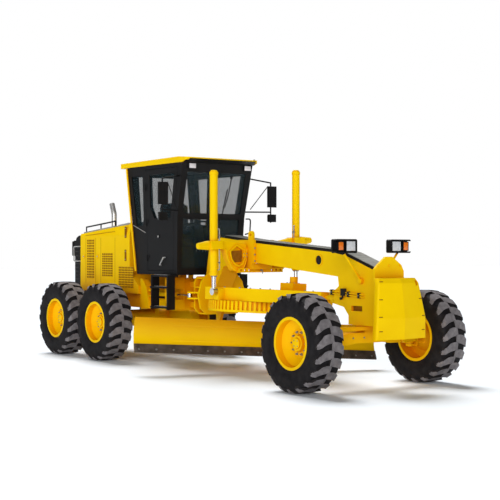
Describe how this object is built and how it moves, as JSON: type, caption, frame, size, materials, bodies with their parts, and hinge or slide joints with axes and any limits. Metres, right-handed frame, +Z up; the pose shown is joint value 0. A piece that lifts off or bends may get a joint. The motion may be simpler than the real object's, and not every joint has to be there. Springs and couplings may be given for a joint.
{
  "type": "motor grader",
  "caption": "Articulated motor grader with tandem rear wheels, leaning front wheels, a turning circle and blade under an arched beam, and a tall cab.",
  "frame": {"origin": "on the ground at the middle of the machine's length and width", "axes": "+Z up, nose towards -Y, the machine's right side towards -X"},
  "size_m": [3.7012, 8.9897, 3.4324],
  "materials": {
    "yellow": "gloss",
    "dark": "satin",
    "tyre": "matt",
    "chrome": "polished",
    "glass": "clear",
    "edge": "worn",
    "engine": "painted",
    "steel": "satin",
    "seat": "woven",
    "lamp": "matt"
  },
  "bodies": {
    "rear_frame": {"hinge_yoke": "yellow", "frame_rails": "yellow", "tail_hitch": "yellow", "tandem_drive": "yellow", "engine": "engine", "hood_top": "yellow", "hood_sides": "yellow", "rear_cowl": "dark", "exhaust": "steel", "cab_frame": "dark", "cab_glass": "glass", "cab_roof": "yellow", "seat": "seat", "steering_console": "lamp", "ladders": "dark", "mirrors": "dark", "handrails": "dark"},
    "door_left": {"cab_door_left": "dark", "door_glass_left": "glass"},
    "door_right": {"cab_door_right": "dark", "door_glass_right": "glass"},
    "front_frame": {"gooseneck": "yellow", "tread_strip": "dark", "lift_saddle": "yellow", "lift_arms": "yellow", "push_block": "yellow", "headlamps": "lamp", "front_axle": "yellow"},
    "lean_right": {"lean_bracket_right": "yellow"},
    "lean_left": {"lean_bracket_left": "yellow"},
    "lean_link": {"lean_bar": "yellow"},
    "knuckle_right": {"steering_knuckle_right": "yellow"},
    "knuckle_left": {"steering_knuckle_left": "yellow"},
    "drawbar": {"drawbar": "yellow"},
    "circle": {"circle": "yellow"},
    "blade_carriage": {"blade_carriage": "yellow"},
    "blade": {"moldboard": "yellow", "cutting_edge": "edge", "blade_shift_rod": "chrome"},
    "wheel_front_right": {"tyre_front_right": "tyre", "rim_front_right": "yellow"},
    "wheel_front_left": {"tyre_front_left": "tyre", "rim_front_left": "yellow"},
    "wheel_mid_right": {"tyre_mid_right": "tyre", "rim_mid_right": "yellow"},
    "wheel_mid_left": {"tyre_mid_left": "tyre", "rim_mid_left": "yellow"},
    "wheel_rear_right": {"tyre_rear_right": "tyre", "rim_rear_right": "yellow"},
    "wheel_rear_left": {"tyre_rear_left": "tyre", "rim_rear_left": "yellow"},
    "lift_barrel_right": {"lift_barrel_right": "yellow"},
    "lift_rod_right": {"lift_rod_right": "chrome"},
    "artic_barrel_right": {"artic_barrel_right": "yellow"},
    "artic_rod_right": {"artic_rod_right": "chrome"},
    "lift_barrel_left": {"lift_barrel_left": "yellow"},
    "lift_rod_left": {"lift_rod_left": "chrome"},
    "artic_barrel_left": {"artic_barrel_left": "yellow"},
    "artic_rod_left": {"artic_rod_left": "chrome"}
  },
  "joints": [
    {"name": "articulation", "type": "hinge", "parent": "rear_frame", "child": "front_frame", "pos_m": [0, 0.41, 1.16], "axis": [0, 0, 1], "range_deg": [-27, 27]},
    {"name": "wheel_lean", "type": "hinge", "parent": "front_frame", "child": "lean_right", "pos_m": [-0.655, -3.69, 0.667], "axis": [0, 1, 0], "range_deg": [-17, 17]},
    {"name": "wheel_lean_left", "type": "hinge", "parent": "front_frame", "child": "lean_left", "pos_m": [0.655, -3.69, 0.667], "axis": [0, 1, 0], "range_deg": [-17, 17]},
    {"name": "lean_bar_pivot", "type": "hinge", "parent": "lean_right", "child": "lean_link", "pos_m": [-0.655, -3.69, 0.832], "axis": [0, 1, 0], "range_deg": [-17, 17]},
    {"name": "steering", "type": "hinge", "parent": "lean_right", "child": "knuckle_right", "pos_m": [-0.845, -3.69, 0.667], "axis": [0, 0, 1], "range_deg": [-38, 38]},
    {"name": "steering_left", "type": "hinge", "parent": "lean_left", "child": "knuckle_left", "pos_m": [0.845, -3.69, 0.667], "axis": [0, 0, 1], "range_deg": [-38, 38]},
    {"name": "wheel_front_right_spin", "type": "hinge", "parent": "knuckle_right", "child": "wheel_front_right", "pos_m": [-1.13, -3.69, 0.667], "axis": [1, 0, 0], "continuous": true},
    {"name": "wheel_front_left_spin", "type": "hinge", "parent": "knuckle_left", "child": "wheel_front_left", "pos_m": [1.13, -3.69, 0.667], "axis": [1, 0, 0], "continuous": true},
    {"name": "wheel_mid_right_spin", "type": "hinge", "parent": "rear_frame", "child": "wheel_mid_right", "pos_m": [-1.075, 1.91, 0.667], "axis": [1, 0, 0], "continuous": true},
    {"name": "wheel_mid_left_spin", "type": "hinge", "parent": "rear_frame", "child": "wheel_mid_left", "pos_m": [1.075, 1.91, 0.667], "axis": [1, 0, 0], "continuous": true},
    {"name": "wheel_rear_right_spin", "type": "hinge", "parent": "rear_frame", "child": "wheel_rear_right", "pos_m": [-1.075, 3.45, 0.667], "axis": [1, 0, 0], "continuous": true},
    {"name": "wheel_rear_left_spin", "type": "hinge", "parent": "rear_frame", "child": "wheel_rear_left", "pos_m": [1.075, 3.45, 0.667], "axis": [1, 0, 0], "continuous": true},
    {"name": "blade_lift", "type": "hinge", "parent": "front_frame", "child": "drawbar", "pos_m": [0, -3.04, 1.24], "axis": [1, 0, 0], "range_deg": [-22, 5]},
    {"name": "circle_turn", "type": "hinge", "parent": "drawbar", "child": "circle", "pos_m": [-0.00757, -1.09, 1.10021], "axis": [0.0541, 0, 0.9985], "continuous": true},
    {"name": "blade_tip", "type": "hinge", "parent": "circle", "child": "blade_carriage", "pos_m": [0.0123, -0.95092, 0.42815], "axis": [0.9258, -0.3746, -0.0501], "range_deg": [-5, 35]},
    {"name": "blade_side_shift", "type": "slide", "parent": "blade_carriage", "child": "blade", "axis": [-0.9258, 0.3746, 0.0501], "range_m": [-0.5, 0.5]},
    {"name": "lift_barrel_right_swing", "type": "hinge", "parent": "front_frame", "child": "lift_barrel_right", "pos_m": [-0.80632, -1.11, 1.98681], "axis": [0.9981, 0, 0.061], "range_deg": [-5.2, 1.3]},
    {"name": "lift_rod_right_slide", "type": "slide", "parent": "lift_barrel_right", "child": "lift_rod_right", "axis": [0, 0, 1], "range_m": [-0.733, 0.168]},
    {"name": "lift_barrel_left_swing", "type": "hinge", "parent": "front_frame", "child": "lift_barrel_left", "pos_m": [0.79167, -1.11, 2.05274], "axis": [0.9981, 0, 0.061], "range_deg": [-5.9, 1.5]},
    {"name": "lift_rod_left_slide", "type": "slide", "parent": "lift_barrel_left", "child": "lift_rod_left", "axis": [0, 0, 1], "range_m": [-0.729, 0.167]},
    {"name": "artic_barrel_right_swing", "type": "hinge", "parent": "rear_frame", "child": "artic_barrel_right", "pos_m": [-0.48, 1.21, 1.17], "axis": [0, 0, 1], "range_deg": [-7.8, 7.8]},
    {"name": "artic_rod_right_slide", "type": "slide", "parent": "artic_barrel_right", "child": "artic_rod_right", "axis": [0, -1, 0], "range_m": [-0.2239, 0.2239]},
    {"name": "artic_barrel_left_swing", "type": "hinge", "parent": "rear_frame", "child": "artic_barrel_left", "pos_m": [0.48, 1.21, 1.17], "axis": [0, 0, 1], "range_deg": [-7.8, 7.8]},
    {"name": "artic_rod_left_slide", "type": "slide", "parent": "artic_barrel_left", "child": "artic_rod_left", "axis": [0, -1, 0], "range_m": [-0.2239, 0.2239]},
    {"name": "door_right_hinge", "type": "hinge", "parent": "rear_frame", "child": "door_right", "pos_m": [-0.65428, 1.153, 1.57], "axis": [0.0326, 0, -0.9995], "range_deg": [0, 90]},
    {"name": "door_left_hinge", "type": "hinge", "parent": "rear_frame", "child": "door_left", "pos_m": [0.65428, 1.153, 1.57], "axis": [0.0326, 0, 0.9995], "range_deg": [0, 90]}
  ],
  "couplings": [
    {"joint": "wheel_lean_left", "follows": "wheel_lean", "ratio": 1},
    {"joint": "lean_bar_pivot", "follows": "wheel_lean", "ratio": -1},
    {"joint": "steering_left", "follows": "steering", "ratio": 1},
    {"joint": "lift_barrel_right_swing", "follows": "blade_lift", "ratio": 0.2312},
    {"joint": "lift_rod_right_slide", "follows": "blade_lift", "m_per_rad": 1.904},
    {"joint": "lift_barrel_left_swing", "follows": "blade_lift", "ratio": 0.2628},
    {"joint": "lift_rod_left_slide", "follows": "blade_lift", "m_per_rad": 1.8939},
    {"joint": "artic_barrel_right_swing", "follows": "articulation", "ratio": 0.2798},
    {"joint": "artic_rod_right_slide", "follows": "articulation", "m_per_rad": 0.4731},
    {"joint": "artic_barrel_left_swing", "follows": "articulation", "ratio": 0.2798},
    {"joint": "artic_rod_left_slide", "follows": "articulation", "m_per_rad": -0.4731}
  ]
}
